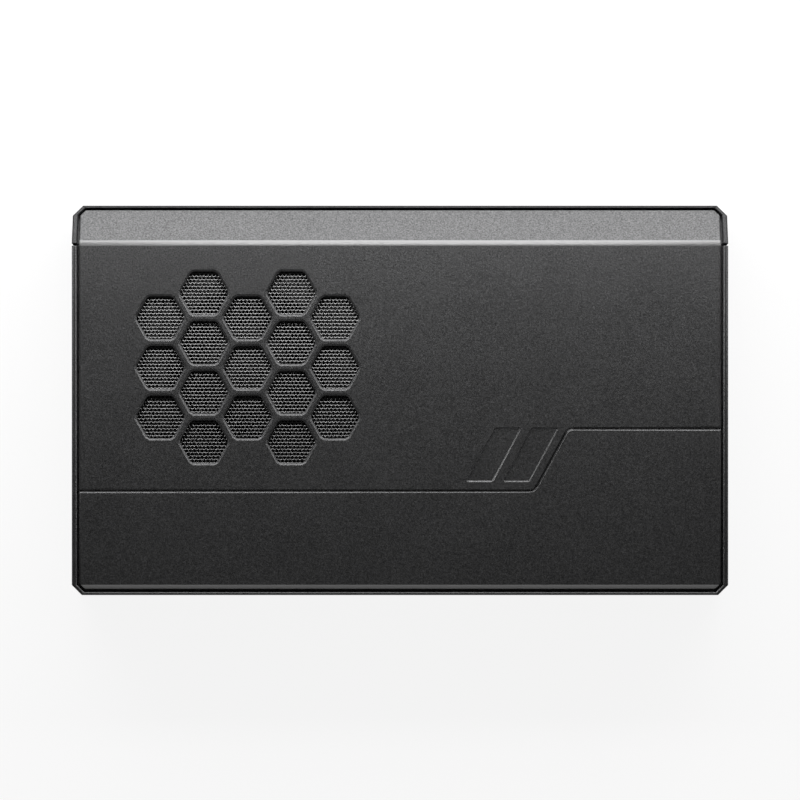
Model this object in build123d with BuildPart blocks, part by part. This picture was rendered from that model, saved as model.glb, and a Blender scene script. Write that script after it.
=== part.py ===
from build123d import *
import os
from math import cos, radians, sin, sqrt, tan

# External graphics card enclosure, lying on its feet with the air windows up.
# Sizes in millimetres. X runs along the long side, Y to the rear wall with the sockets, Z up.

# Body
body_width = 196.0
body_depth = 116.5
shell_height = 30.0
foot_height = 2.0
corner_cut = 3.0

# Walls, rims and the parting between frame and bezel
side_wall = 3.5
front_wall = 3.0
rear_wall = 2.5
side_rim = 1.55
front_rim = 0.9
rear_rim = 0.75
rim_break = 0.3
parting_gap = 0.5
parting_from_crease = 0.7
parting_depth = 0.25
parting_drop = 1.2

# Top cover
cover_thickness = 1.8
cover_side_gap = 0.6
cover_front_gap = 0.85
cover_rear_gap = 0.6
bevel_setback = 11.15
bevel_angle = 39.0
crease_radius = 2.8
cover_side_chamfer = 0.3
front_chamfer_run = 1.4
front_chamfer_drop = 0.9

# Air windows in the top cover
vent_from_left = 52.5
vent_from_rear = 48.5
window_columns = 5
window_rows = 4
column_pitch = 13.05
row_pitch = 14.82
window_flat = 12.7
window_corner = 0.6
window_chamfer = 0.57

# Stepped groove and slanted recesses in the top cover
seam_low_from_front = 31.1
seam_rise = 18.6
seam_corner_from_right = 57.9
seam_slant = 61.5
seam_width = 1.05
seam_depth = 0.55
seam_radius = 2.4
stripe_count = 2
stripe_above_seam = 2.65
stripe_height = 16.4
stripe_width = 8.2
stripe_pitch = 11.05
stripe_from_seam = 2.85
stripe_depth = 0.4
stripe_taper = 45.0
stripe_wide_corner = 0.9
stripe_sharp_corner = 0.6

# Mesh behind the windows
mesh_thickness = 0.5
mesh_margin = 3.0
mesh_gap_pitch = 2.0
mesh_gap_share = 0.6
mesh_air_gap = 1.2

# Bottom cover, feet and screws
base_thickness = 2.0
base_gap = 0.3
foot_length = 24.0
foot_width = 8.0
foot_corner = 2.5
foot_seat = 0.8
foot_clearance = 0.15
foot_from_side = 24.0
foot_from_edge = 9.5
boss_size = 7.6
boss_inset = 3.6
post_size = 6.0
post_length = 8.2
bezel_boss_height = 12.0
screw_head_radius = 2.8
screw_head_height = 1.1
screw_head_clearance = 0.2
intake_radius = 27.0
intake_slot_count = 9
intake_slot_width = 3.0
intake_slot_pitch = 5.6

# Side air slots
side_slot_width = 2.2
side_slot_pitch = 5.0
side_slot_margin = 2.0

# Board
board_standoff = 2.0
board_thickness = 1.6
board_side_gap = 7.9
board_front_gap = 3.25
board_rear_gap = 1.25
board_fan_gap = 5.5
board_arm_depth = 11.7
standoff_radius = 2.4
standoff_inset = 5.5
small_head_radius = 2.0
small_head_height = 0.8

# Chips and power parts
carrier_size = 36.0
carrier_thickness = 1.2
die_length = 18.0
die_width = 14.0
die_thickness = 0.8
memory_length = 12.0
memory_width = 14.0
memory_thickness = 1.1
memory_gap = 3.0
memory_carrier_gap = 2.0
choke_count = 4
choke_size = 7.0
choke_height = 5.5
choke_pitch = 13.5
choke_from_front = 10.0
choke_pipe_gap = 3.0
transistor_length = 5.0
transistor_width = 5.5
transistor_thickness = 1.0
transistor_gap = 0.5
capacitor_count = 4
capacitor_length = 4.3
capacitor_width = 7.3
capacitor_height = 2.8
capacitor_pitch = 9.0
controller_size = 11.0
controller_thickness = 1.0

# Cold plate and heat pipes
plate_thickness = 1.8
plate_right_inset = 7.0
plate_rear_inset = 20.5
plate_margin = 2.0
plate_lip = 7.0
plate_screw_inset = 3.5
pipe_width = 7.6
pipe_height = 3.0
pipe_pitch = 8.6
pipe_bend = 12.0
pipe_turn_gap = 13.8
pipe_from_outlet = 9.05
pipe_end_inset = 6.0
pipe_tip_inset = 1.0

# Fin stack and its seal
fin_thickness = 0.4
fin_pitch = 2.4
fin_plate = 0.5
fin_outlet_gap = 0.2
seal_thickness = 1.0
seal_width = 1.5

# Fan
rotor_radius = 28.0
rotor_clearance = 2.8
fan_wall = 1.2
fan_floor = 1.0
fan_plate = 0.8
fan_corner_cut = 5.0
fan_intake_radius = 24.0
fan_post_reach = 27.0
fan_post_inset = 4.0
outlet_reach = 30.5
outlet_rear_reach = 25.75
hub_radius = 12.0
hub_wall = 1.2
rotor_floor_gap = 1.6
rotor_top_gap = 0.6
blade_count = 23
blade_lean = 28.0
blade_thickness = 0.7
blade_top_drop = 0.5
shaft_radius = 1.0
shaft_clearance = 0.03
bearing_wall = 2.0
bearing_roof_gap = 1.5
fit_clearance = 0.05
stator_radius = 9.0
stator_teeth = 6
stator_tooth_width = 2.4
stator_core = 2.0
stator_roof_gap = 3.5

# Fan lead and its header
lead_from_fan = 12.25
lead_width = 4.0
lead_thickness = 0.8
lead_bend = 1.5
lead_start_lift = 2.0
lead_end_lift = 2.4
lead_drop_gap = 4.5
header_length = 5.0
header_width = 6.0
header_height = 4.2
header_from_left = 2.5

# Power button, its switch and the status light
button_width = 12.0
button_height = 4.4
button_from_right = 28.0
button_lift = 2.2
button_clearance = 0.25
button_recess = 0.2
button_travel = 0.5
button_stop_gap = 0.1
button_flange = 1.3
button_flange_thickness = 1.0
button_stem_width = 4.0
button_stem_height = 2.0
switch_width = 6.5
switch_depth = 4.0
switch_height = 3.6
light_width = 3.0
light_height = 1.0
light_collar = 0.8
light_spacing = 13.0
lamp_size = 1.6
lamp_gap = 0.5

# Sockets, as outer width, height and depth
port_setback = 0.3
port_clearance = 0.25
shell_wall = 0.45
cavity_back = 1.5
port_sizes = {
    "power_inlet": (11.0, 10.5, 13.0),
    "reversible_socket": (9.0, 3.2, 9.0),
    "expansion_socket": (12.5, 5.4, 12.0),
    "display_socket_left": (17.0, 6.2, 14.0),
    "display_socket_right": (17.0, 6.2, 14.0),
    "video_socket_left": (15.0, 5.8, 11.6),
    "video_socket_right": (15.0, 5.8, 11.6),
    "data_socket_left": (13.3, 6.0, 14.0),
    "data_socket_right": (13.3, 6.0, 14.0),
    "network_socket": (16.0, 12.4, 16.0),
}
inlet_radius = 3.4
inlet_depth = 11.0
inlet_pin_radius = 1.2
inlet_pin_length = 9.5
video_taper = 2.0
display_notch = 2.2
network_width = 11.8
network_height = 7.0
network_latch_width = 6.2
network_latch_height = 1.8
network_depth = 12.5

# Contact tongues in the sockets, as width, height and length
tongue_sizes = {
    "reversible_socket": (6.7, 0.7, 5.0),
    "expansion_socket": (8.6, 1.2, 7.0),
    "display_socket_left": (12.5, 1.2, 8.5),
    "display_socket_right": (12.5, 1.2, 8.5),
    "video_socket_left": (10.0, 1.2, 7.0),
    "video_socket_right": (10.0, 1.2, 7.0),
    "data_socket_left": (11.1, 1.9, 9.0),
    "data_socket_right": (11.1, 1.9, 9.0),
}

# Places on the shell
half_width = body_width / 2
front_y = -body_depth / 2
rear_y = body_depth / 2
shell_bottom = foot_height
shell_top = shell_bottom + shell_height
base_top = shell_bottom + base_thickness
inner_side = half_width - side_wall
inner_front = front_y + front_wall
inner_rear = rear_y - rear_wall
bevel = radians(bevel_angle)
crease_y = rear_y - bevel_setback
parting_y = crease_y - parting_from_crease
cover_bottom = shell_top - cover_thickness
cover_half = half_width - side_rim - cover_side_gap
cover_front = front_y + front_rim + cover_front_gap
cover_rear = rear_y - rear_rim - cover_rear_gap
seat_crease_y = crease_y - cover_thickness * tan(bevel / 2)
vent_x = vent_from_left - half_width
vent_y = rear_y - vent_from_rear
slant = radians(seam_slant)

# Heights of the board, the cooler and the fan
board_bottom = base_top + board_standoff
board_top = board_bottom + board_thickness
plate_bottom = board_top + carrier_thickness + die_thickness
plate_top = plate_bottom + plate_thickness
pipe_top = plate_top + pipe_height
mesh_bottom = cover_bottom - mesh_thickness
fan_top = mesh_bottom - mesh_air_gap
fan_plate_bottom = fan_top - fan_plate
fan_floor_top = pipe_top + fan_floor
rotor_bottom = fan_floor_top + rotor_floor_gap
rotor_top = fan_plate_bottom - rotor_top_gap
roof_bottom = rotor_top - hub_wall

# Places of the fan and the fin stack
fan_x = vent_x
fan_y = vent_y
fan_inner = rotor_radius + rotor_clearance
fan_outer = fan_inner + fan_wall
fan_right = fan_x + fan_outer
fan_rear = fan_y + fan_outer
outlet_x = fan_x - outlet_reach
outlet_front = fan_y - fan_outer
outlet_rear = fan_y + outlet_rear_reach
outlet_middle = (outlet_front + outlet_rear) / 2
fin_left = seal_thickness - inner_side
fin_right = outlet_x - fin_outlet_gap
fin_length = outlet_rear - outlet_front
fin_height = fan_top - pipe_top
fin_middle = (fan_top + pipe_top) / 2
pipe_shifts = (-pipe_pitch / 2, pipe_pitch / 2)
pipe_turn_x = fan_right + pipe_turn_gap
pipe_pass_y = (inner_front + outlet_front) / 2
pipe_under_x = outlet_x - pipe_from_outlet

# Places of the board, and of the cold plate over the chip and its memory
board_left = fan_right + board_fan_gap
board_right = inner_side - board_side_gap
board_front = inner_front + board_front_gap
board_rear = inner_rear - board_rear_gap
arm_left = board_side_gap - inner_side
arm_front = board_rear - board_arm_depth
plate_right = board_right - plate_right_inset
plate_rear = board_rear - plate_rear_inset
memory_reach = carrier_size / 2 + memory_carrier_gap + memory_length / 2
plate_reach = memory_reach + memory_length / 2 + plate_margin
die_x = plate_right - plate_reach
die_y = plate_rear - plate_reach
plate_left = die_x - carrier_size / 2 - plate_lip
plate_front = die_y - carrier_size / 2 - plate_lip

# Corner bosses that carry the cover's posts and the bottom screws
boss_x = inner_side - boss_inset
frame_boss_y = inner_front + boss_inset
bezel_boss_y = inner_rear - boss_inset
frame_boss_top = cover_bottom - post_length
bezel_boss_top = base_top + bezel_boss_height
frame_bosses = [(side * boss_x, frame_boss_y) for side in (-1, 1)]
bezel_bosses = [(side * boss_x, bezel_boss_y) for side in (-1, 1)]

# Places of the sockets, spread evenly along the rear wall
port_widths = sum(size[0] for size in port_sizes.values())
port_gap = (board_right - arm_left - port_widths) / (len(port_sizes) - 1)
mouth_y = rear_y - port_setback
port_x = {}
port_edge = arm_left
for name, size in port_sizes.items():
    port_x[name] = port_edge + size[0] / 2
    port_edge += size[0] + port_gap
port_z = {name: board_top + size[1] / 2 for name, size in port_sizes.items()}

# Places of the power button and the status light in the front wall
button_x = half_width - button_from_right
light_x = button_x + light_spacing
button_z = board_top + button_lift

# Points of the posts under the board, the fan and the cold plate
standoff_points = [
    (board_left + standoff_inset, board_front + standoff_inset),
    (board_right - standoff_inset, board_front + standoff_inset),
    (board_left + standoff_inset, arm_front - standoff_inset),
    (board_right - standoff_inset, plate_rear + standoff_radius),
    (port_x["reversible_socket"], arm_front + standoff_radius),
]
fan_post_points = [
    (fan_x + fan_post_reach, fan_y - fan_post_reach),
    (fan_x + fan_post_reach, fan_y + fan_post_reach),
    (outlet_x + fan_post_inset, (outlet_rear + fan_rear) / 2),
]
plate_post_points = [
    (die_x - carrier_size / 4, plate_front + plate_screw_inset),
    (die_x + carrier_size / 4, plate_front + plate_screw_inset),
    (plate_left + plate_screw_inset, plate_rear - plate_screw_inset),
    (plate_right - plate_screw_inset, plate_rear - plate_screw_inset),
]
foot_points = [
    (side * (half_width - foot_from_side), end * (rear_y - foot_from_edge))
    for side in (-1, 1)
    for end in (-1, 1)
]

# Centres of the air windows, columns of one fewer and of full count by turns
window_centres = []
for column in range(window_columns):
    rows = window_rows - 1 + column % 2
    for row in range(rows):
        window_x = vent_x + (column - (window_columns - 1) / 2) * column_pitch
        window_y = vent_y + (row - (rows - 1) / 2) * row_pitch
        window_centres.append((window_x, window_y))

on_floor = (Align.CENTER, Align.CENTER, Align.MIN)
from_corner = (Align.MIN, Align.MIN)


def outer_z(y):
    """Height of the outer skin over the depth, flat and then down the bevel."""
    return shell_top - max(0.0, y - crease_y) * tan(bevel)


def upright(y):
    """Plane across the depth at a given Y, facing the front, with X and Z as its axes."""
    return Plane.XZ.offset(-y)


def level(z):
    """Level plane at a given height."""
    return Plane.XY.offset(z)


def plan_outline(side, front, rear):
    """Plan of the body moved in from its sides, front and rear, with cut corners."""
    cut = max(corner_cut - (2 - sqrt(2)) * side, rim_break)
    with BuildSketch() as outline:
        with Locations((0, (front - rear) / 2)):
            Rectangle(body_width - 2 * side, body_depth - front - rear)
        chamfer(outline.vertices(), cut)
    return outline.sketch


body_outline = plan_outline(0, 0, 0)
recess_outline = plan_outline(side_rim, front_rim, rear_rim)
cavity_outline = plan_outline(side_wall, front_wall, rear_wall)
cover_outline = plan_outline(half_width - cover_half, cover_front - front_y, rear_y - cover_rear)
base_outline = plan_outline(side_rim + base_gap, front_rim + base_gap, rear_rim + base_gap)

# Room that the cover takes out of the rims, down to the ledge it rests on
with BuildPart() as cover_seat:
    with BuildSketch(Plane.YZ) as seat_side:
        with BuildLine():
            Polyline(
                (front_y, cover_bottom),
                (seat_crease_y, cover_bottom),
                (rear_y, outer_z(rear_y) - cover_thickness / cos(bevel)),
                (rear_y, shell_top + cover_thickness),
                (front_y, shell_top + cover_thickness),
                close=True,
            )
        make_face()
        seat_corner = seat_side.vertices().sort_by_distance((seat_crease_y, cover_bottom))[0]
        fillet(seat_corner, crease_radius - cover_thickness)
    extrude(amount=half_width, both=True)
    with BuildSketch():
        add(recess_outline)
    extrude(amount=2 * shell_top, mode=Mode.INTERSECT)

# Top cover: the bent side profile drawn out, cut to plan, then windows, groove and recesses
with BuildPart() as top_cover:
    with BuildSketch(Plane.YZ) as cover_side:
        with BuildLine():
            Polyline(
                (cover_front, cover_bottom),
                (cover_front, shell_top - front_chamfer_drop),
                (cover_front + front_chamfer_run, shell_top),
                (crease_y, shell_top),
                (cover_rear, outer_z(cover_rear)),
                (
                    cover_rear - cover_thickness * sin(bevel),
                    outer_z(cover_rear) - cover_thickness * cos(bevel),
                ),
                (seat_crease_y, cover_bottom),
                close=True,
            )
        make_face()
        outer_corner = cover_side.vertices().sort_by_distance((crease_y, shell_top))[0]
        fillet(outer_corner, crease_radius)
        inner_corner = cover_side.vertices().sort_by_distance((seat_crease_y, cover_bottom))[0]
        fillet(inner_corner, crease_radius - cover_thickness)
    extrude(amount=cover_half, both=True)
    with BuildSketch():
        add(cover_outline)
    extrude(amount=2 * shell_top, mode=Mode.INTERSECT)
    skin_edges = [
        edge
        for edge in top_cover.edges()
        if abs(abs(edge.center().X) - cover_half) < rim_break
        and abs(edge.center().Z - outer_z(edge.center().Y)) < cover_side_chamfer / 2
        and edge.center().Y > cover_front + front_chamfer_run
    ]
    chamfer(skin_edges, cover_side_chamfer)

    # Air windows, each with a bevelled lip
    with BuildSketch(level(cover_bottom)) as windows:
        with Locations(*window_centres):
            RegularPolygon(window_flat / 2, 6, major_radius=False)
        chamfer(windows.vertices(), window_corner)
    extrude(amount=cover_thickness, mode=Mode.SUBTRACT)
    face_skin = top_cover.faces().filter_by(Axis.Z).sort_by(Axis.Z)[-1]
    lip_edges = [edge for wire in face_skin.inner_wires() for edge in wire.edges()]
    chamfer(lip_edges, window_chamfer)

    # Stepped groove of V section from side to side
    seam_low_y = front_y + seam_low_from_front
    seam_high_y = seam_low_y + seam_rise
    seam_low_x = half_width - seam_corner_from_right
    seam_high_x = seam_low_x + seam_rise / tan(slant)
    with BuildLine(level(shell_top)) as seam:
        FilletPolyline(
            (-half_width, seam_low_y),
            (seam_low_x, seam_low_y),
            (seam_high_x, seam_high_y),
            (half_width, seam_high_y),
            radius=seam_radius,
        )
    with BuildSketch(Plane(seam.line @ 0, x_dir=(0, 1, 0), z_dir=(1, 0, 0))):
        Polygon((-seam_width, seam_depth), (seam_width, seam_depth), (0, -seam_depth), align=None)
    sweep(mode=Mode.SUBTRACT)

    # Slanted recesses beside the groove's rise
    stripe_low_y = seam_low_y + stripe_above_seam
    stripe_lean = stripe_height / tan(slant)
    stripe_right = seam_low_x + stripe_above_seam / tan(slant) - stripe_from_seam
    for stripe in range(stripe_count):
        stripe_x = stripe_right - stripe_width - stripe * stripe_pitch
        with BuildSketch(level(shell_top)) as recess:
            with Locations((stripe_x, stripe_low_y)):
                Polygon(
                    (0, 0),
                    (stripe_width, 0),
                    (stripe_width + stripe_lean, stripe_height),
                    (stripe_lean, stripe_height),
                    align=None,
                )
            fillet(recess.vertices().sort_by(Axis.X)[1:3], stripe_wide_corner)
            stripe_tips = recess.vertices().sort_by(Axis.X)
            fillet([stripe_tips[0], stripe_tips[-1]], stripe_sharp_corner)
        extrude(amount=-stripe_depth, taper=stripe_taper, mode=Mode.SUBTRACT)

    # Screw posts down to the bosses of the frame and the bezel
    for side in (-1, 1):
        for post_y, foot_z in ((frame_boss_y, frame_boss_top), (bezel_boss_y, bezel_boss_top)):
            near_y = post_y - post_size / 2
            far_y = post_y + post_size / 2
            with BuildSketch(Plane.YZ.offset(side * boss_x)):
                Polygon(
                    (near_y, foot_z),
                    (far_y, foot_z),
                    (far_y, outer_z(far_y) - cover_thickness / 2),
                    (near_y, outer_z(near_y) - cover_thickness / 2),
                    align=None,
                )
            extrude(amount=post_size / 2, both=True)

# Mesh sheet behind the windows, cut into rows of long gaps
window_reach = window_flat / sqrt(3)
mesh_width = (window_columns - 1) * column_pitch + 2 * window_reach
mesh_depth = window_rows * row_pitch
with BuildPart() as vent_mesh:
    with BuildSketch(level(mesh_bottom)):
        with Locations((vent_x, vent_y)):
            Rectangle(mesh_width + 2 * mesh_margin, mesh_depth + 2 * mesh_margin)
            with GridLocations(1, mesh_gap_pitch, 1, int(mesh_depth / mesh_gap_pitch)):
                Rectangle(mesh_width, mesh_gap_pitch * mesh_gap_share, mode=Mode.SUBTRACT)
    extrude(amount=mesh_thickness)

# Main frame: front, left and right walls
with BuildPart() as main_frame:
    with BuildSketch(level(shell_bottom)):
        add(body_outline)
        add(cavity_outline, mode=Mode.SUBTRACT)
    extrude(amount=shell_height)
    add(cover_seat.part, mode=Mode.SUBTRACT)
    with BuildSketch(level(shell_bottom)):
        add(recess_outline)
    extrude(amount=base_thickness, mode=Mode.SUBTRACT)
    with BuildSketch(level(shell_bottom)):
        with Locations((0, parting_y - parting_gap / 2)):
            Rectangle(body_width, body_depth, align=(Align.CENTER, Align.MIN))
    extrude(amount=shell_height, mode=Mode.SUBTRACT)
    chamfer(main_frame.edges().group_by(Axis.Z)[-1], rim_break)
    chamfer(main_frame.edges().group_by(Axis.Z)[0], rim_break)
    # Corner bosses
    with BuildSketch(level(base_top)):
        with Locations(*frame_bosses):
            Rectangle(boss_size, boss_size)
    extrude(amount=frame_boss_top - base_top)
    # Air slots in both side walls, beside the fin stack
    slot_height = fin_height - 2 * fin_plate - 2 * side_slot_margin
    slot_room = fin_length - 2 * side_slot_margin - side_slot_width
    slot_count = int(slot_room / side_slot_pitch) + 1
    with BuildSketch(Plane.YZ):
        with Locations((outlet_middle, fin_middle)):
            with GridLocations(side_slot_pitch, 1, slot_count, 1):
                Rectangle(side_slot_width, slot_height)
    extrude(amount=half_width, both=True, mode=Mode.SUBTRACT)
    # Holes for the button and the status light
    with BuildSketch(upright(inner_front)):
        with Locations((button_x, button_z)):
            SlotOverall(button_width + 2 * button_clearance, button_height + 2 * button_clearance)
        with Locations((light_x, button_z)):
            Rectangle(light_width + 2 * fit_clearance, light_height + 2 * fit_clearance)
    extrude(amount=front_wall, mode=Mode.SUBTRACT)

# Rear bezel: rear wall, both rear corners and the ends of the bevel
with BuildPart() as rear_bezel:
    with BuildSketch(Plane.YZ) as bezel_side:
        with BuildLine():
            Polyline(
                (front_y, shell_bottom),
                (rear_y, shell_bottom),
                (rear_y, outer_z(rear_y)),
                (crease_y, shell_top),
                (front_y, shell_top),
                close=True,
            )
        make_face()
        fillet(bezel_side.vertices().sort_by_distance((crease_y, shell_top))[0], crease_radius)
    extrude(amount=half_width, both=True)
    with BuildSketch():
        add(body_outline)
        add(cavity_outline, mode=Mode.SUBTRACT)
    extrude(amount=2 * shell_top, mode=Mode.INTERSECT)
    add(cover_seat.part, mode=Mode.SUBTRACT)
    with BuildSketch(level(shell_bottom)):
        add(recess_outline)
    extrude(amount=base_thickness, mode=Mode.SUBTRACT)
    with BuildSketch():
        with Locations((0, parting_y + parting_gap / 2)):
            Rectangle(body_width, body_depth, align=(Align.CENTER, Align.MAX))
    extrude(amount=2 * shell_top, mode=Mode.SUBTRACT)
    bezel_skin = [
        edge
        for edge in rear_bezel.edges()
        if all(abs(corner.Z - outer_z(corner.Y)) < rim_break for corner in edge.vertices())
    ]
    chamfer(bezel_skin, rim_break)
    chamfer(rear_bezel.edges().group_by(Axis.Z)[0], rim_break)
    # Tongues that close the parting line below its groove
    tongue_width = side_wall - parting_depth
    with BuildSketch(upright(parting_y + parting_gap / 2)):
        with Locations(*[(side * (inner_side + tongue_width / 2), base_top) for side in (-1, 1)]):
            Rectangle(
                tongue_width,
                shell_top - parting_drop - base_top,
                align=(Align.CENTER, Align.MIN),
            )
    extrude(amount=parting_gap - fit_clearance)
    add(cover_seat.part, mode=Mode.SUBTRACT)
    # Corner bosses
    with BuildSketch(level(base_top)):
        with Locations(*bezel_bosses):
            Rectangle(boss_size, boss_size)
    extrude(amount=bezel_boss_height)
    # Openings for the sockets
    with BuildSketch(upright(rear_y)):
        for name, size in port_sizes.items():
            with Locations((port_x[name], port_z[name])):
                if name == "reversible_socket":
                    SlotOverall(size[0] + 2 * port_clearance, size[1] + 2 * port_clearance)
                else:
                    Rectangle(size[0] + 2 * port_clearance, size[1] + 2 * port_clearance)
    extrude(amount=rear_wall, mode=Mode.SUBTRACT)

# Bottom cover with six-sided posts, foot seats, screw seats and the fan's air slots
with BuildPart() as bottom_cover:
    with BuildSketch(level(shell_bottom)):
        add(base_outline)
    extrude(amount=base_thickness)
    with BuildSketch(level(base_top)):
        with Locations(*standoff_points):
            RegularPolygon(standoff_radius, 6)
    extrude(amount=board_standoff)
    with BuildSketch(level(base_top)):
        with Locations(*fan_post_points):
            RegularPolygon(standoff_radius, 6)
    extrude(amount=pipe_top - base_top)
    with BuildSketch(level(shell_bottom)) as foot_seats:
        with Locations(*foot_points):
            Rectangle(foot_length, foot_width)
        chamfer(foot_seats.vertices(), foot_corner)
    extrude(amount=foot_seat, mode=Mode.SUBTRACT)
    with BuildSketch(level(shell_bottom)):
        with Locations(*frame_bosses, *bezel_bosses):
            Circle(screw_head_radius + screw_head_clearance)
    extrude(amount=screw_head_height, mode=Mode.SUBTRACT)
    with BuildSketch(level(shell_bottom)):
        for slot in range(intake_slot_count):
            slot_y = (slot - (intake_slot_count - 1) / 2) * intake_slot_pitch
            with Locations((fan_x, fan_y + slot_y)):
                Rectangle(2 * sqrt(intake_radius**2 - slot_y**2), intake_slot_width)
    extrude(amount=base_thickness, mode=Mode.SUBTRACT)

# Rubber feet set into the bottom cover
with BuildPart() as rubber_feet:
    with BuildSketch() as foot_pads:
        with Locations(*foot_points):
            Rectangle(foot_length - 2 * foot_clearance, foot_width - 2 * foot_clearance)
        chamfer(foot_pads.vertices(), foot_corner - foot_clearance)
    extrude(amount=foot_height + foot_seat)

# Heads of the screws that hold the shell together
with BuildPart() as bottom_screws:
    with BuildSketch(level(shell_bottom)):
        with Locations(*frame_bosses, *bezel_bosses):
            Circle(screw_head_radius)
    extrude(amount=screw_head_height)

# Main board with an arm along the rear wall
with BuildPart() as main_board:
    with BuildSketch(level(board_bottom)):
        with Locations((board_left, board_front)):
            Rectangle(board_right - board_left, board_rear - board_front, align=from_corner)
        with Locations((arm_left, arm_front)):
            Rectangle(board_left - arm_left, board_arm_depth, align=from_corner)
    extrude(amount=board_thickness)


def screw_heads(points, seat_z):
    """Six-sided screw heads on a seat."""
    with BuildPart() as heads:
        with BuildSketch(level(seat_z)):
            with Locations(*points):
                RegularPolygon(small_head_radius, 6)
        extrude(amount=small_head_height)
    return heads.part


board_screws = screw_heads(standoff_points, board_top)
fan_screws = screw_heads(fan_post_points, fan_top)
cooler_screws = screw_heads(plate_post_points, plate_top)

# Graphics chip: carrier and bare die
with BuildPart() as graphics_carrier:
    with Locations((die_x, die_y, board_top)):
        Box(carrier_size, carrier_size, carrier_thickness, align=on_floor)
with BuildPart() as graphics_die:
    with Locations((die_x, die_y, board_top + carrier_thickness)):
        Box(die_length, die_width, die_thickness, align=on_floor)

# Memory on two sides of the graphics chip, with pads up to the cold plate
memory_step = (memory_width + memory_gap) / 2
memory_top = board_top + memory_thickness
memory_right = [(die_x + memory_reach, die_y + end * memory_step) for end in (-1, 1)]
memory_rear = [(die_x + end * memory_step, die_y + memory_reach) for end in (-1, 1)]
with BuildPart() as memory_chips:
    with Locations(*[(x, y, board_top) for x, y in memory_right]):
        Box(memory_length, memory_width, memory_thickness, align=on_floor)
    with Locations(*[(x, y, board_top) for x, y in memory_rear]):
        Box(memory_width, memory_length, memory_thickness, align=on_floor)
with BuildPart() as memory_pads:
    with Locations(*[(x, y, memory_top) for x, y in memory_right + memory_rear]):
        Box(memory_length, memory_length, plate_bottom - memory_top, align=on_floor)

# Power stage in a row along the front of the board, right of the heat pipes
choke_y = board_front + choke_from_front
choke_start = pipe_turn_x + max(pipe_shifts) + pipe_width / 2 + choke_pipe_gap + choke_size / 2
choke_xs = [choke_start + index * choke_pitch for index in range(choke_count)]
transistor_shift = (choke_size + transistor_length) / 2 + transistor_gap
with BuildPart() as power_chokes:
    with Locations(*[(x, choke_y, board_top) for x in choke_xs]):
        Box(choke_size, choke_size, choke_height, align=on_floor)
with BuildPart() as power_transistors:
    with Locations(*[(x + transistor_shift, choke_y, board_top) for x in choke_xs]):
        Box(transistor_length, transistor_width, transistor_thickness, align=on_floor)
with BuildPart() as capacitors:
    with Locations((plate_right + plate_right_inset / 2, die_y, board_top)):
        with GridLocations(1, capacitor_pitch, 1, capacitor_count):
            Box(capacitor_length, capacitor_width, capacitor_height, align=on_floor)
with BuildPart() as link_controller:
    with Locations((port_x["video_socket_right"], plate_rear + controller_size / 2, board_top)):
        Box(controller_size, controller_size, controller_thickness, align=on_floor)

# Switch behind the power button and the lamp behind the light pipe
with BuildPart() as button_switch:
    with Locations((button_x, board_front + switch_depth / 2, board_top)):
        Box(switch_width, switch_depth, switch_height, align=on_floor)
with BuildPart() as status_lamp:
    with Locations((light_x, board_front + lamp_size / 2, board_top)):
        Box(lamp_size, lamp_size, button_lift + light_height / 2, align=on_floor)

# Power button: cap in the wall, flange behind it, stem to the switch
flange_y = inner_front + button_stop_gap
stem_end = board_front - button_travel - button_stop_gap
with BuildPart() as power_button:
    with BuildSketch(upright(flange_y)):
        with Locations((button_x, button_z)):
            SlotOverall(button_width, button_height)
    extrude(amount=front_wall + button_stop_gap - button_recess)
    with BuildSketch(upright(flange_y)):
        with Locations((button_x, button_z)):
            Rectangle(button_width + 2 * button_flange, button_height + 2 * button_flange)
    extrude(amount=-button_flange_thickness)
    with BuildSketch(upright(stem_end)):
        with Locations((button_x, button_z)):
            Rectangle(button_stem_width, button_stem_height)
    extrude(amount=stem_end - flange_y)

# Light pipe through the front wall, with a collar behind it
with BuildPart() as light_pipe:
    with BuildSketch(upright(board_front - lamp_gap)):
        with Locations((light_x, button_z)):
            Rectangle(light_width, light_height)
    extrude(amount=board_front - lamp_gap - front_y)
    with BuildSketch(upright(inner_front)):
        with Locations((light_x, button_z)):
            Rectangle(light_width + 2 * light_collar, light_height + 2 * light_collar)
    extrude(amount=-light_collar)


def plain_face(width, height):
    """Plain socket mouth."""
    with BuildSketch() as face:
        Rectangle(width, height)
    return face.sketch


def slot_face(width, height):
    """Socket mouth with round ends."""
    with BuildSketch() as face:
        SlotOverall(width, height)
    return face.sketch


def round_face(radius):
    """Round socket mouth."""
    with BuildSketch() as face:
        Circle(radius)
    return face.sketch


def tapered_face(width, height):
    """Socket mouth with both lower corners cut."""
    with BuildSketch() as face:
        Rectangle(width, height)
        chamfer(face.vertices().group_by(Axis.Y)[0], video_taper)
    return face.sketch


def notched_face(width, height):
    """Socket mouth with one lower corner cut."""
    with BuildSketch() as face:
        Rectangle(width, height)
        chamfer(face.vertices().group_by(Axis.Y)[0].sort_by(Axis.X)[0], display_notch)
    return face.sketch


def network_face():
    """Room for a network plug with its latch below."""
    with BuildSketch() as face:
        with Locations((0, network_latch_height / 2)):
            Rectangle(network_width, network_height)
        with Locations((0, (network_latch_height - network_height) / 2)):
            Rectangle(network_latch_width, network_latch_height, align=(Align.CENTER, Align.MAX))
    return face.sketch


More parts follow.
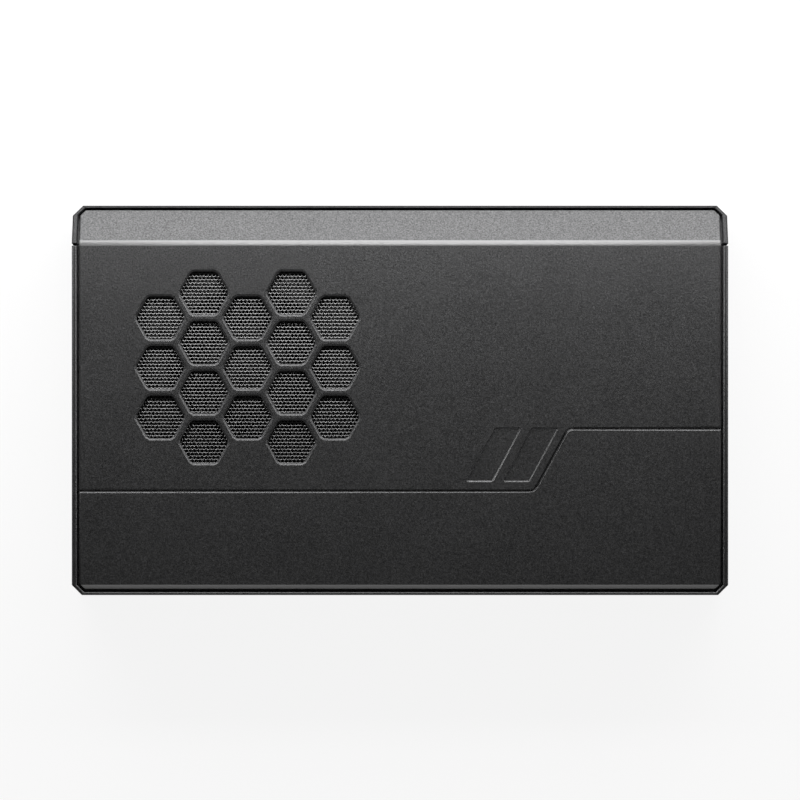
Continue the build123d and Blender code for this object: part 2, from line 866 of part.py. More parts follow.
# Sockets on the board: a mouth drawn inward, hollowed from its front
socket_parts = {}
for name, (width, height, depth) in port_sizes.items():
    mouth = plain_face(width, height)
    hollow = plain_face(width - 2 * shell_wall, height - 2 * shell_wall)
    hollow_depth = depth - cavity_back
    if name == "power_inlet":
        hollow = round_face(inlet_radius)
        hollow_depth = inlet_depth
    elif name == "network_socket":
        hollow = network_face()
        hollow_depth = network_depth
    elif name == "reversible_socket":
        mouth = slot_face(width, height)
        hollow = slot_face(width - 2 * shell_wall, height - 2 * shell_wall)
    elif name.startswith("video"):
        mouth = tapered_face(width, height)
        hollow = tapered_face(width - 2 * shell_wall, height - 2 * shell_wall)
    elif name.startswith("display"):
        mouth = notched_face(width, height)
        hollow = notched_face(width - 2 * shell_wall, height - 2 * shell_wall)
    with BuildPart() as socket:
        with BuildSketch(upright(mouth_y)):
            with Locations((port_x[name], port_z[name])):
                add(mouth)
        extrude(amount=depth)
        with BuildSketch(upright(mouth_y)):
            with Locations((port_x[name], port_z[name])):
                add(hollow)
        extrude(amount=hollow_depth, mode=Mode.SUBTRACT)
    socket_parts[name] = socket.part

# Contact tongues, each standing on the back wall of its socket
with BuildPart() as socket_tongues:
    for name, (width, height, length) in tongue_sizes.items():
        back_y = mouth_y - port_sizes[name][2] + cavity_back
        with BuildSketch(upright(back_y)):
            with Locations((port_x[name], port_z[name])):
                Rectangle(width, height)
        extrude(amount=-length)

# Centre pin of the power inlet
with BuildPart() as inlet_pin:
    with BuildSketch(upright(mouth_y - inlet_depth)):
        with Locations((port_x["power_inlet"], port_z["power_inlet"])):
            Circle(inlet_pin_radius)
    extrude(amount=-inlet_pin_length)

# Cold plate over the die and the memory pads, on posts
with BuildPart() as cold_plate:
    with BuildSketch(level(plate_bottom)):
        with Locations((plate_left, plate_front)):
            Rectangle(plate_right - plate_left, plate_rear - plate_front, align=from_corner)
    extrude(amount=plate_thickness)
with BuildPart() as cooler_posts:
    with BuildSketch(level(board_top)):
        with Locations(*plate_post_points):
            RegularPolygon(standoff_radius, 6)
    extrude(amount=plate_bottom - board_top)

# Flattened heat pipes from the cold plate, round the fan's front, to under the fin stack
with BuildPart() as heat_pipes:
    for shift in pipe_shifts:
        with BuildLine(level(plate_top + pipe_height / 2)) as route:
            FilletPolyline(
                (plate_right - pipe_end_inset, die_y - shift),
                (pipe_turn_x + shift, die_y - shift),
                (pipe_turn_x + shift, pipe_pass_y - shift),
                (pipe_under_x - shift, pipe_pass_y - shift),
                (pipe_under_x - shift, outlet_rear - pipe_tip_inset),
                radius=pipe_bend,
            )
        with BuildSketch(Plane(route.line @ 0, x_dir=(0, 1, 0), z_dir=(-1, 0, 0))):
            Rectangle(pipe_width, pipe_height)
        sweep()

# Fin stack: a block cut into air channels
channel_count = int((fin_length - fin_thickness) / fin_pitch)
with BuildPart() as fin_stack:
    with BuildSketch(level(pipe_top)):
        with Locations((fin_left, outlet_front)):
            Rectangle(fin_right - fin_left, fin_length, align=from_corner)
    extrude(amount=fin_height)
    with BuildSketch(Plane.YZ):
        with Locations((outlet_middle, fin_middle)):
            with GridLocations(fin_pitch, 1, channel_count, 1):
                Rectangle(fin_pitch - fin_thickness, fin_height - 2 * fin_plate)
    extrude(amount=half_width, both=True, mode=Mode.SUBTRACT)

# Foam seal between the fin stack and the left wall
with BuildPart() as outlet_seal:
    with BuildSketch(Plane.YZ.offset(-inner_side)):
        with Locations((outlet_middle, fin_middle)):
            Rectangle(fin_length, fin_height)
            Rectangle(fin_length - 2 * seal_width, fin_height - 2 * seal_width, mode=Mode.SUBTRACT)
    extrude(amount=seal_thickness)

# Plan of the fan: square, with its right corners cut
with BuildSketch() as fan_plan:
    with Locations((outlet_x, outlet_front)):
        Rectangle(fan_right - outlet_x, fan_rear - outlet_front, align=from_corner)
    chamfer(fan_plan.vertices().group_by(Axis.X)[-1], fan_corner_cut)

# Fan housing: floor and scroll, open to the left
with BuildPart() as fan_housing:
    with BuildSketch(level(pipe_top)):
        add(fan_plan.sketch)
    extrude(amount=fan_plate_bottom - pipe_top)
    with BuildSketch(level(fan_floor_top)):
        with Locations((fan_x, fan_y)):
            Circle(fan_inner)
        with Locations((fan_x, outlet_middle)):
            Rectangle(fan_outer, fin_length - 2 * fan_wall, align=(Align.MAX, Align.CENTER))
    extrude(amount=fan_plate_bottom - fan_floor_top, mode=Mode.SUBTRACT)

# Fan top plate with the intake hole
with BuildPart() as fan_top_plate:
    with BuildSketch(level(fan_plate_bottom)):
        add(fan_plan.sketch)
        with Locations((fan_x, fan_y)):
            Circle(fan_intake_radius, mode=Mode.SUBTRACT)
    extrude(amount=fan_plate)

# Sleeve bearing in a six-sided boss on the floor, and the stator round it
bearing_radius = shaft_radius + shaft_clearance + bearing_wall
stator_inner = bearing_radius + fit_clearance
with BuildPart() as fan_bearing:
    with BuildSketch(level(fan_floor_top)):
        with Locations((fan_x, fan_y)):
            RegularPolygon(bearing_radius, 6, major_radius=False)
            Circle(shaft_radius + shaft_clearance, mode=Mode.SUBTRACT)
    extrude(amount=roof_bottom - bearing_roof_gap - fan_floor_top)
with BuildPart() as fan_stator:
    with BuildSketch(level(fan_floor_top)):
        with Locations((fan_x, fan_y)):
            RegularPolygon(stator_inner + stator_core, 6, major_radius=False)
            with PolarLocations(0, stator_teeth):
                Rectangle(stator_radius, stator_tooth_width, align=(Align.MIN, Align.CENTER))
            RegularPolygon(stator_inner, 6, major_radius=False, mode=Mode.SUBTRACT)
    extrude(amount=roof_bottom - stator_roof_gap - fan_floor_top)

# Shaft in the bearing, up to the roof of the rotor's cup
with BuildPart() as fan_shaft:
    with BuildSketch(level(fan_floor_top + fit_clearance)):
        with Locations((fan_x, fan_y)):
            Circle(shaft_radius)
    extrude(amount=roof_bottom - fan_floor_top - fit_clearance)

# Fan rotor: a cup over the stator with a ring of leaning blades
blade_root = hub_radius - hub_wall / 2
lean = radians(blade_lean)
blade_length = sqrt(rotor_radius**2 - (blade_root * sin(lean)) ** 2) - blade_root * cos(lean)
with BuildPart() as fan_rotor:
    with BuildSketch(level(rotor_bottom)):
        with Locations((fan_x, fan_y)):
            Circle(hub_radius)
    extrude(amount=rotor_top - rotor_bottom)
    with BuildSketch(level(rotor_bottom)):
        with Locations((fan_x, fan_y)):
            with PolarLocations(blade_root, blade_count):
                Rectangle(
                    blade_length,
                    blade_thickness,
                    rotation=-blade_lean,
                    align=(Align.MIN, Align.CENTER),
                )
    extrude(amount=rotor_top - blade_top_drop - rotor_bottom)
    with BuildSketch(level(rotor_bottom)):
        with Locations((fan_x, fan_y)):
            Circle(hub_radius - hub_wall)
    extrude(amount=roof_bottom - rotor_bottom, mode=Mode.SUBTRACT)

# Flat lead from the fan down to its header on the board
lead_y = fan_y + lead_from_fan
header_left = board_left + header_from_left
lead_drop_x = header_left - lead_drop_gap
lead_start_z = fan_floor_top + lead_start_lift
lead_end_z = board_top + lead_end_lift
with BuildPart() as fan_header:
    with Locations((header_left, lead_y, board_top)):
        Box(header_length, header_width, header_height, align=(Align.MIN, Align.CENTER, Align.MIN))
with BuildPart() as fan_lead:
    with BuildLine(upright(lead_y)) as lead_route:
        FilletPolyline(
            (fan_right, lead_start_z),
            (lead_drop_x, lead_start_z),
            (lead_drop_x, lead_end_z),
            (header_left, lead_end_z),
            radius=lead_bend,
        )
    with BuildSketch(Plane(lead_route.line @ 0, x_dir=(0, 1, 0), z_dir=(1, 0, 0))):
        Rectangle(lead_width, lead_thickness)
    sweep()

# Each piece as its own file
pieces = {
    "top_cover": top_cover.part,
    "vent_mesh": vent_mesh.part,
    "main_frame": main_frame.part,
    "rear_bezel": rear_bezel.part,
    "bottom_cover": bottom_cover.part,
    "rubber_feet": rubber_feet.part,
    "bottom_screws": bottom_screws.part,
    "power_button": power_button.part,
    "light_pipe": light_pipe.part,
    "main_board": main_board.part,
    "board_screws": board_screws,
    "graphics_carrier": graphics_carrier.part,
    "graphics_die": graphics_die.part,
    "memory_chips": memory_chips.part,
    "memory_pads": memory_pads.part,
    "power_chokes": power_chokes.part,
    "power_transistors": power_transistors.part,
    "capacitors": capacitors.part,
    "link_controller": link_controller.part,
    "button_switch": button_switch.part,
    "status_lamp": status_lamp.part,
    "socket_tongues": socket_tongues.part,
    "inlet_pin": inlet_pin.part,
    "cold_plate": cold_plate.part,
    "cooler_posts": cooler_posts.part,
    "cooler_screws": cooler_screws,
    "heat_pipes": heat_pipes.part,
    "fin_stack": fin_stack.part,
    "outlet_seal": outlet_seal.part,
    "fan_housing": fan_housing.part,
    "fan_top_plate": fan_top_plate.part,
    "fan_screws": fan_screws,
    "fan_bearing": fan_bearing.part,
    "fan_stator": fan_stator.part,
    "fan_shaft": fan_shaft.part,
    "fan_rotor": fan_rotor.part,
    "fan_header": fan_header.part,
    "fan_lead": fan_lead.part,
    **socket_parts,
}
os.makedirs("parts", exist_ok=True)
for label, piece in pieces.items():
    piece.label = label
    export_step(piece, f"parts/{label}.step")
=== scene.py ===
import math

import bmesh
import bpy
from bpy.props import FloatProperty, FloatVectorProperty, PointerProperty
from mathutils import Matrix, Vector


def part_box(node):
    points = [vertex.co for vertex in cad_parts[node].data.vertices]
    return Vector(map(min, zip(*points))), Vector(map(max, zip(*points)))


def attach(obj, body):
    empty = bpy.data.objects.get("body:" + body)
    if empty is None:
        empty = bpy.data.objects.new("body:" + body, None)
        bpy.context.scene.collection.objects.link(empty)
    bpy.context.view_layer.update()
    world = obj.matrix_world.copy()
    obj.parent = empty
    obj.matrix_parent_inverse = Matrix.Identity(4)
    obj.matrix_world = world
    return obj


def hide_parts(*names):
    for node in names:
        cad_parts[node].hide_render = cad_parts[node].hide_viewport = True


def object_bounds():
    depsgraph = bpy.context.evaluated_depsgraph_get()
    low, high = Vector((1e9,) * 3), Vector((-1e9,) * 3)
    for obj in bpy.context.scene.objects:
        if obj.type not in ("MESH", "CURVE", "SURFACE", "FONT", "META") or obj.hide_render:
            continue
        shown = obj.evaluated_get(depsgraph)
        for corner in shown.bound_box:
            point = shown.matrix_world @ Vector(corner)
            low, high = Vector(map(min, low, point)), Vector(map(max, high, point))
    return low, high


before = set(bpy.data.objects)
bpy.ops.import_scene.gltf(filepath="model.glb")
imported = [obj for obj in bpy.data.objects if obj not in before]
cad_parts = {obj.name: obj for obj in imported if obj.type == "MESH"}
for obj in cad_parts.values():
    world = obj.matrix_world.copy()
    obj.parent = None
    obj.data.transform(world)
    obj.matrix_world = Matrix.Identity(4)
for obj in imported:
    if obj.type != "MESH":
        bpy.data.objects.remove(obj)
cad_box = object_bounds()

bl_info = {
    "name": "Graphics Enclosure",
    "version": (1, 0, 0),
    "blender": (4, 5, 0),
    "location": "View3D > Sidebar > Enclosure",
    "description": "Finishes an external graphics card enclosure and sets it on a pale floor",
    "category": "Object",
}

MM = 0.001

# Vertices nearer than this are one, after a full spin and in a copy of a CAD mesh
SPIN_MERGE = 1e-7
CAD_MERGE = 0.06 * MM

# Two faces are one flat face below the first angle, facets of a curve below the second,
# and the sides of a sharp edge above the third
FLAT_ANGLE = math.radians(0.5)
CURVE_ANGLE = math.radians(15)
SHARP_ANGLE = math.radians(25)

# A face narrower than this many edge radii keeps its edges
NARROW = 2.5

# Contact tongues of the sockets in millimetres: width, height, length, and contacts on each face
TONGUES = {
    "reversible_socket": (6.7, 0.7, 5.0, 12),
    "expansion_socket": (8.6, 1.2, 7.0, 10),
    "display_socket_left": (12.5, 1.2, 8.5, 10),
    "display_socket_right": (12.5, 1.2, 8.5, 10),
    "video_socket_left": (10.0, 1.2, 7.0, 9),
    "video_socket_right": (10.0, 1.2, 7.0, 9),
    "data_socket_left": (11.1, 1.9, 9.0, 4),
    "data_socket_right": (11.1, 1.9, 9.0, 4),
}

# Thickness of a socket's closed inner end
SOCKET_BACK = 1.5 * MM

# How strong the painted highlight is across a band, from the band's front side to its rear side
CREASE_HIGHLIGHT = [(0, 0), (0.06, 0.9), (0.9, 1), (1, 0)]
FRONT_HIGHLIGHT = [(0, 1), (0.94, 1), (1, 0)]


def colour(label, words, value):
    """A colour property."""
    return FloatVectorProperty(
        name=label, description=words, default=value, size=3, min=0, max=1, subtype="COLOR"
    )


def length(label, words, millimetres):
    """A length property with its default in millimetres."""
    return FloatProperty(
        name=label, description=words, default=millimetres * MM, min=0, precision=5, unit="LENGTH"
    )


def power(label, words, watts):
    """A lamp's power."""
    return FloatProperty(name=label, description=words, default=watts, min=0, unit="POWER")


def share(label, words, value):
    """A property between nothing and all."""
    return FloatProperty(
        name=label, description=words, default=value, min=0, max=1, subtype="FACTOR"
    )


class ShellLook(bpy.types.PropertyGroup):
    """Paint and edges of the cover, frame, bezel and base."""

    paint: colour("Paint", "Colour of the blasted paint", (0.085, 0.085, 0.086))
    frame_paint: colour("Frame paint", "Colour of the frame", (0.065, 0.065, 0.066))
    bezel_paint: colour("Bezel paint", "Colour of the rear bezel", (0.040, 0.040, 0.041))
    base_paint: colour("Base paint", "Colour of the bottom cover", (0.055, 0.055, 0.056))
    roughness: share("Roughness", "How dull the paint is", 0.46)
    metal: share("Metal", "Share of bare metal in the paint's shine", 0.9)
    varnish: share("Varnish", "Gloss of the clear binder between the metal flakes", 0.1)
    glance: share("Glancing gloss", "Gloss that the paint keeps at a glancing angle", 0.35)
    grain: length("Grain", "Size of the blasted grain", 0.45)
    grain_depth: length("Grain depth", "Depth of the blasted grain", 0.026)
    edge: length("Edge radius", "Rounding of the sharp edges", 0.15)
    # Painted highlight: the crease is painted lighter along a narrow band
    burnish: colour("Highlight", "Colour of the highlighted crease", (0.2, 0.2, 0.2))
    crease: length("Crease place", "How far behind the middle the crease lies", 46.87)
    crease_width: length("Crease width", "Width of the highlighted crease", 1.8)
    # Painted highlight: the front edge is painted lighter along a narrow band
    front_highlight: colour("Front burnish", "Colour of the highlighted front edge", (0.4, 0.4, 0.4))
    front_width: length("Front edge width", "Width of the highlighted front edge", 1.4)


class MeshLook(bpy.types.PropertyGroup):
    """Punched mesh behind the air windows."""

    steel: colour("Steel", "Colour of the mesh", (0.15, 0.15, 0.15))
    pitch: length("Hole pitch", "Distance from hole to hole", 1.17)
    wire: length("Bridge width", "Metal left between two holes", 0.36)
    ridge: length("Ridge width", "Flat top of a bridge", 0.04)
    flank: length("Flank height", "Height of a bridge's slanted flanks", 0.057)
    window: length("Window", "Width of an air window across its flats", 12.7)
    margin: length("Margin", "How far the holes run on under the cover", 0.5)
    column_pitch: length("Column pitch", "Distance between window columns", 13.05)
    row_pitch: length("Row pitch", "Distance between windows of a column", 14.82)


class FeetLook(bpy.types.PropertyGroup):
    """Rubber feet."""

    rubber: colour("Rubber", "Colour of the feet", (0.018, 0.018, 0.018))
    edge: length("Edge radius", "Rounding of the feet's edges", 0.35)


class ScrewLook(bpy.types.PropertyGroup):
    """Heads of the bottom screws."""

    steel: colour("Steel", "Colour of the heads", (0.16, 0.16, 0.165))
    rim: length("Rim", "Bevel of the head's rim", 0.3)
    socket: length("Socket radius", "Radius of the six-lobed socket", 1.25)
    socket_depth: length("Socket depth", "Depth of the six-lobed socket", 0.7)
    lobe: share("Lobes", "How deep the socket's lobes are", 0.14)


class ControlLook(bpy.types.PropertyGroup):
    """Power button and status light."""

    plastic: colour("Button", "Colour of the power button", (0.05, 0.05, 0.051))
    light: colour("Light", "Colour of the light pipe", (0.78, 0.80, 0.82))
    edge: length("Edge radius", "Rounding of the button's edges", 0.25)


class SocketLook(bpy.types.PropertyGroup):
    """Sockets in the rear wall."""

    steel: colour("Shells", "Colour of the sheet shells", (0.56, 0.56, 0.57))
    plastic: colour("Plastic", "Colour of the moulded bodies", (0.018, 0.018, 0.018))
    gold: colour("Contacts", "Colour of the plated contacts", (0.72, 0.50, 0.20))
    contact: length("Contact thickness", "How far a contact stands out", 0.06)
    wire: length("Network wire", "Width of a network contact", 0.45)
    wire_pitch: length("Network pitch", "Distance between network contacts", 1.02)
    sleeve: length("Sleeve", "Wall of the power inlet's sleeve", 0.25)


class BoardLook(bpy.types.PropertyGroup):
    """Board and the parts on it."""

    mask: colour("Solder mask", "Colour of the board", (0.012, 0.022, 0.016))
    trace: colour("Traces", "Colour of the covered traces", (0.022, 0.042, 0.03))
    resin: colour("Resin", "Colour of the moulded chips", (0.022, 0.022, 0.023))
    silicon: colour("Silicon", "Colour of the bare die", (0.20, 0.21, 0.24))
    pad: colour("Pads", "Colour of the soft heat pads", (0.42, 0.46, 0.50))
    ferrite: colour("Chokes", "Colour of the pressed chokes", (0.11, 0.11, 0.11))


class CoolerLook(bpy.types.PropertyGroup):
    """Cold plate, heat pipes, fins and screws."""

    copper: colour("Copper", "Colour of the plate and the pipes", (0.72, 0.36, 0.22))
    # The fin stack is coloured near black as painted shade where it shows through the mesh
    fins: colour("Fins", "Colour of the shadowed fin stack", (0.035, 0.035, 0.037))
    steel: colour("Screws", "Colour of the inner screws and posts", (0.40, 0.40, 0.41))
    foam: colour("Seal", "Colour of the foam seal", (0.02, 0.02, 0.02))


class FanLook(bpy.types.PropertyGroup):
    """Fan housing, rotor and motor."""

    plastic: colour("Plastic", "Colour of the housing and the rotor", (0.020, 0.020, 0.021))
    # The top plate is coloured near black as painted shade where it shows through the mesh
    plate: colour("Plate", "Colour of the shaded top plate", (0.018, 0.018, 0.018))
    steel: colour("Steel", "Colour of the shaft and the stator", (0.45, 0.45, 0.45))
    brass: colour("Brass", "Colour of the bearing", (0.72, 0.53, 0.26))


class StageLook(bpy.types.PropertyGroup):
    """Camera, lamps and floor."""

    view_width: length("View width", "Width that the picture covers at the cover's face", 238.84)
    distance: length("Camera distance", "Height of the camera over the cover's face", 2100.0)
    floor: colour("Floor", "Colour of the floor", (0.93, 0.93, 0.93))
    glow: share("Floor glow", "How far the floor shows as plain white", 0.88)
    ceiling: share("Ceiling", "How bright the room looks overhead in a reflection", 0.02)
    ambient: share("Room light", "How bright the light from all sides is", 0.10)
    key: power("Key lamp", "Power of the broad lamp behind", 3.4)
    strip: power("Strip lamp", "Power of the strip over the crease", 0.41)
    fill: power("Front lamp", "Power of the lamp in front", 1.0)
    left: power("Left lamp", "Power of the lamp on the left", 1.5)
    right: power("Right lamp", "Power of the lamp on the right", 2.2)


class Value:
    """An output of a node, with arithmetic that adds Math nodes."""

    def __init__(self, tree, link):
        self.tree = tree
        self.link = link

    def math(self, operation, first, second):
        """A Math node on two values."""
        return self.tree.node("ShaderNodeMath", {"operation": operation}, {0: first, 1: second})

    def __add__(self, other):
        return self.math("ADD", self, other)

    def __radd__(self, other):
        return self.math("ADD", other, self)

    def __sub__(self, other):
        return self.math("SUBTRACT", self, other)

    def __rsub__(self, other):
        return self.math("SUBTRACT", other, self)

    def __mul__(self, other):
        return self.math("MULTIPLY", self, other)

    def __rmul__(self, other):
        return self.math("MULTIPLY", other, self)

    def __lt__(self, other):
        return self.math("LESS_THAN", self, other)

    def __gt__(self, other):
        return self.math("GREATER_THAN", self, other)

    def __or__(self, other):
        return self.math("MAXIMUM", self, other)

    def __ror__(self, other):
        return self.math("MAXIMUM", other, self)

    def __mod__(self, other):
        return self.math("FLOORED_MODULO", self, other)

    def __rmod__(self, other):
        return self.math("FLOORED_MODULO", other, self)


class NodeTree:
    """A node tree of a material or the world, filled node by node."""

    def __init__(self, owner):
        owner.use_nodes = True
        self.owner = owner
        self.tree = owner.node_tree

    def node(self, kind, settings=None, sockets=None, output=0):
        """Adds a node, sets its settings, then its sockets' values or links."""
        added = self.tree.nodes.new(kind)
        for key, setting in (settings or {}).items():
            if key == "stops":
                ramp = added.color_ramp
                while len(ramp.elements) < len(setting):
                    ramp.elements.new(1)
                for element, (position, level) in zip(ramp.elements, setting):
                    element.position = position
                    element.color = (*level, 1)
            else:
                setattr(added, key, setting)
        self.feed(added, sockets or {})
        return Value(self, added.outputs[output])

    def feed(self, node, sockets):
        """Sets or links sockets of a node."""
        for key, value in sockets.items():
            if isinstance(value, Value):
                self.tree.links.new(value.link, node.inputs[key])
            else:
                node.inputs[key].default_value = value

    def noise(self, place, scale, detail):
        """Noise between nothing and one."""
        return self.node(
            "ShaderNodeTexNoise", None, {"Vector": place, "Scale": scale, "Detail": detail}, "Fac"
        )

    def mix(self, factor, first, second):
        """A colour between two others."""
        return self.node(
            "ShaderNodeMix", {"data_type": "RGBA"}, {0: factor, 6: first, 7: second}, output=2
        )

    def blend(self, first, second, factor):
        """A shader between two others."""
        return self.node("ShaderNodeMixShader", None, {0: factor, 1: first, 2: second})

    def seen_rays(self):
        """One for rays that show the background, straight or in a reflection."""
        path = "ShaderNodeLightPath"
        seen = self.node(path, output="Is Camera Ray") | self.node(path, output="Is Glossy Ray")
        return seen | self.node(path, output="Is Transmission Ray")


class Finish(NodeTree):
    """A procedural material round one Principled shader."""

    def __init__(self, name):
        super().__init__(bpy.data.materials.new(name))
        self.shader = self.tree.nodes["Principled BSDF"]
        self.place = self.node("ShaderNodeTexCoord", output="Object")

    def along(self, axis):
        """The place along one of the object's axes."""
        return self.node("ShaderNodeSeparateXYZ", None, {"Vector": self.place}, axis)

    def stretched(self, scale):
        """Object coordinates, scaled along each axis."""
        return self.node("ShaderNodeMapping", None, {"Vector": self.place, "Scale": scale})

    def bump(self, height, strength, depth):
        """A normal from a height."""
        return self.node(
            "ShaderNodeBump", None, {"Height": height, "Strength": strength, "Distance": depth}
        )

    def surface(self, **sockets):
        """Sets the shader's sockets and returns the material."""
        self.feed(self.shader, {name.replace("_", " "): value for name, value in sockets.items()})
        return self.owner


def tint(base, factor):
    """A colour made darker or lighter, with full alpha."""
    return (*[min(1.0, channel * factor) for channel in base], 1.0)


def blasted_paint(name, base, look, highlight_bands=()):
    """Satin paint over blasted metal, with a fine even grain and perhaps some bands painted lighter
    as a painted highlight.
    """
    finish = Finish(name)
    fine = finish.noise(finish.place, scale=1 / look.grain, detail=3) - 0.5
    broad = finish.noise(finish.place, scale=60, detail=2) - 0.5
    speck = finish.noise(finish.place, scale=0.6 / look.grain, detail=1) - 0.5
    paint = finish.mix(0.5 + 1.5 * fine + 0.1 * broad, tint(base, 0.35), tint(base, 1.65))
    # Each band is a painted highlight: the paint turns towards the band's lighter colour, bare, and
    # loses its grain and specks
    for front, rear, highlight_profile, bare in highlight_bands:
        across = (finish.along("Y") - front) * (1 / (rear - front))
        stops = [(place, (amount, amount, amount)) for place, amount in highlight_profile]
        burnish = finish.node("ShaderNodeValToRGB", {"stops": stops}, {"Fac": across})
        paint = finish.mix(burnish, paint, (*bare, 1))
        fine = fine * (1 - burnish)
        speck = speck * (1 - burnish)
    return finish.surface(
        Base_Color=paint,
        Roughness=look.roughness + 0.3 * speck + 0.04 * broad,
        Metallic=look.metal,
        Specular_IOR_Level=look.varnish,
        Specular_Tint=(look.glance, look.glance, look.glance, 1),
        Normal=finish.bump(fine, strength=0.8, depth=look.grain_depth),
    )


def brushed_metal(name, base, roughness, streak, dull=0.75):
    """Bare metal with a slight tarnish, and streaks along the axis of the lowest scale."""
    finish = Finish(name)
    lines = finish.noise(finish.stretched(streak), scale=1.0, detail=4)
    tarnish = finish.noise(finish.place, scale=140, detail=3)
    return finish.surface(
        Base_Color=finish.mix(0.6 * lines + 0.4 * tarnish, tint(base, dull), tint(base, 1.12)),
        Roughness=roughness + 0.18 * (lines - 0.5) + 0.12 * (tarnish - 0.5),
        Metallic=1.0,
        Normal=finish.bump(lines, strength=0.25, depth=0.004 * MM),
    )


def moulded(name, base, roughness, grain, depth=0.01):
    """Moulded plastic, resin or rubber with a fine texture, its grain and depth in millimetres."""
    finish = Finish(name)
    fine = finish.noise(finish.place, scale=1 / (grain * MM), detail=3)
    flow = finish.noise(finish.place, scale=90, detail=2)
    return finish.surface(
        Base_Color=finish.mix(0.5 * fine + 0.5 * flow, tint(base, 0.8), tint(base, 1.25)),
        Roughness=roughness + 0.14 * (fine - 0.5) + 0.08 * (flow - 0.5),
        Normal=finish.bump(fine, strength=0.4, depth=depth * MM),
    )


def speckled(name, base, fleck, roughness, cell):
    """Pressed or foamed stuff with small cells, their size in millimetres."""
    finish = Finish(name)
    cells = finish.node(
        "ShaderNodeTexVoronoi", None, {"Vector": finish.place, "Scale": 1 / (cell * MM)}, "Distance"
    )
    fine = finish.noise(finish.place, scale=3 / (cell * MM), detail=2)
    return finish.surface(
        Base_Color=finish.mix(0.7 * cells + 0.3 * fine, (*fleck, 1), (*base, 1)),
        Roughness=roughness + 0.15 * (fine - 0.5),
        Normal=finish.bump(cells, strength=0.5, depth=0.03 * MM),
    )


def solder_mask(name, mask, trace):
    """Board with covered traces in two directions and a woven core."""
    finish = Finish(name)
    zones = finish.noise(finish.place, scale=70, detail=1)
    lengthways = ((finish.along("X") % (1.1 * MM)) < 0.45 * MM) * (zones > 0.52)
    crossways = ((finish.along("Y") % (1.3 * MM)) < 0.5 * MM) * (zones < 0.46)
    weave = finish.noise(finish.place, scale=2500, detail=1)
    lines = lengthways | crossways
    return finish.surface(
        Base_Color=finish.mix(0.85 * lines + 0.15 * weave, (*mask, 1), (*trace, 1)),
        Roughness=0.34 + 0.12 * weave,
        Coat_Weight=0.2 + 0.2 * lines,
        Normal=finish.bump(lines + 0.2 * weave, strength=0.3, depth=0.02 * MM),
    )


def silicon_die(name, base):
    """Polished die with a faint play of colour."""
    finish = Finish(name)
    drift = finish.noise(finish.place, scale=120, detail=2)
    violet = (base[0] * 1.1, base[1] * 0.9, base[2] * 1.25, 1)
    return finish.surface(
        Base_Color=finish.mix(drift, (*base, 1), violet),
        Roughness=0.12 + 0.08 * drift,
        Metallic=0.6,
    )


def milky_plastic(name, base):
    """Milky light pipe."""
    finish = Finish(name)
    cloud = finish.noise(finish.place, scale=600, detail=3)
    return finish.surface(
        Base_Color=finish.mix(cloud, tint(base, 0.88), tint(base, 1.05)),
        Roughness=0.22 + 0.1 * cloud,
        Coat_Weight=0.3 + 0.1 * cloud,
    )


def ribbon_lead(name, base):
    """Flat lead of several wires side by side."""
    finish = Finish(name)
    ridge = finish.along("Y") % (1.0 * MM)
    grooves = (ridge < 0.12 * MM) | (ridge > 0.88 * MM)
    fine = finish.noise(finish.place, scale=3000, detail=2)
    return finish.surface(
        # The grooves between the wires are painted darker, a painted shade, and the wires a little
        # lighter
        Base_Color=finish.mix(grooves, tint(base, 1.1), tint(base, 0.5)),
        Roughness=0.42 + 0.12 * fine,
        Normal=finish.bump(0.2 * fine - grooves, strength=0.5, depth=0.05 * MM),
    )


def dress(finish, *nodes):
    """Gives CAD nodes a finish."""
    for node in nodes:
        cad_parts[node].material_slots[0].material = finish


def shade(bm):
    """Smooth faces with hard edges where two faces meet at an angle."""
    for face in bm.faces:
        face.smooth = True
    for edge in bm.edges:
        edge.smooth = edge.is_manifold and edge.calc_face_angle() < SHARP_ANGLE


def softened(node, radius, segments=2):
    """A merged copy of a CAD node's mesh with its sharp edges rounded."""
    bm = bmesh.new()
    bm.from_mesh(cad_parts[node].data)
    bmesh.ops.remove_doubles(bm, verts=bm.verts, dist=CAD_MERGE)
    bmesh.ops.dissolve_limit(bm, angle_limit=FLAT_ANGLE, verts=bm.verts, edges=bm.edges)
    bm.normal_update()
    for face in bm.faces:
        face.smooth = is_curved(face)
    narrow = {face for face in bm.faces if mean_width(face) < NARROW * radius}
    sharp = [
        edge
        for edge in bm.edges
        if edge.is_convex
        and edge.calc_length() > radius
        and edge.calc_face_angle() > SHARP_ANGLE
        and narrow.isdisjoint(edge.link_faces)
    ]
    rounded = bmesh.ops.bevel(
        bm,
        geom=sharp,
        offset=radius,
        offset_type="OFFSET",
        segments=segments,
        profile=0.5,
        affect="EDGES",
        clamp_overlap=False,
        material=-1,
    )
    for face in rounded["faces"]:
        face.smooth = True
    return bm


def mean_width(face):
    """The width of a long face, from its area and its outline."""
    return 2 * face.calc_area() / face.calc_perimeter()


def is_curved(face):
    """Whether a face is one facet of a gentle curve, bent both ways from its neighbours."""
    turns = []
    for edge in face.edges:
        if edge.is_manifold and FLAT_ANGLE < edge.calc_face_angle() < CURVE_ANGLE:
            turns += [other.normal - face.normal for other in edge.link_faces if other != face]
    return any(first.dot(second) < 0 for first in turns for second in turns)


def make_piece(name, bm, finish, body="root", stands_for=()):
    """A finished object at the origin, on its body, with its finish."""
    mesh = bpy.data.meshes.new(name)
    bm.to_mesh(mesh)
    bm.free()
    if "custom_normal" in mesh.attributes:
        mesh.attributes.remove(mesh.attributes["custom_normal"])
    mesh.materials.clear()
    mesh.materials.append(finish)
    piece = bpy.data.objects.new(name, mesh)
    bpy.context.scene.collection.objects.link(piece)
    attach(piece, body)
    if stands_for:
        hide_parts(*stands_for)
    return piece


